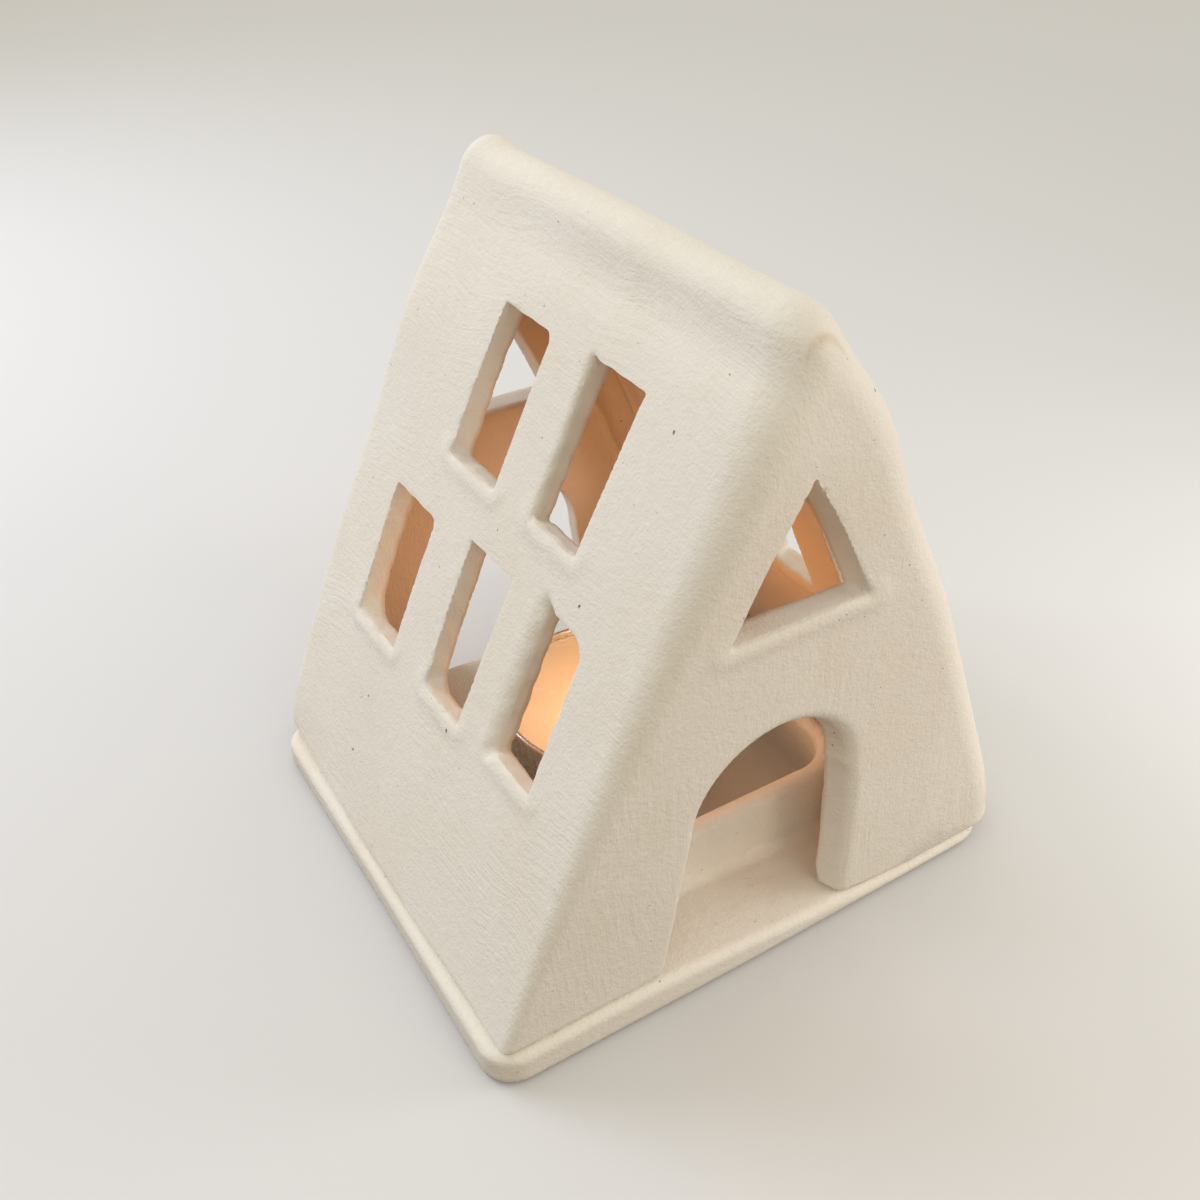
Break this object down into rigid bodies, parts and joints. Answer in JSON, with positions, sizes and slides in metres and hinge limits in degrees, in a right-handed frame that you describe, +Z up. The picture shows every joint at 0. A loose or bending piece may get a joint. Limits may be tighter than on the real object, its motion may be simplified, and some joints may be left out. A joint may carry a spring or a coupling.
{
  "type": "tealight house",
  "caption": "Handmade clay A-frame house with roof windows, peak windows and arched doors, lifting off a low tray that carries a tealight.",
  "frame": {"origin": "on the base plate's underside, below the middle of the house", "axes": "+Z up, -Y towards the front gable with the door, +X to the right seen from the front"},
  "size_m": [0.097, 0.0882, 0.1022],
  "materials": {
    "clay": "matte unglazed",
    "cup_aluminium": "pressed foil",
    "wax": "soft translucent",
    "wick": "braided cotton",
    "tin": "stamped sheet"
  },
  "bodies": {
    "base": {"base_plate": "clay", "curb_front": "clay", "curb_left": "clay", "curb_right": "clay"},
    "house": {"left_roof_slab": "clay", "right_roof_slab": "clay", "front_gable": "clay", "rear_gable": "clay", "front_left_seam": "clay", "front_right_seam": "clay", "rear_left_seam": "clay", "rear_right_seam": "clay", "ridge_seam": "clay"},
    "tealight": {"tealight_cup": "cup_aluminium", "tealight_wax": "wax", "tealight_wick": "wick", "wick_sustainer": "tin"}
  },
  "joints": [
    {"name": "house_lift", "type": "slide", "parent": "base", "child": "house", "axis": [0, 0, 1], "range_m": [0, 0.06]},
    {"name": "tealight_lift", "type": "slide", "parent": "base", "child": "tealight", "axis": [0, 0, 1], "range_m": [0, 0.02]}
  ]
}
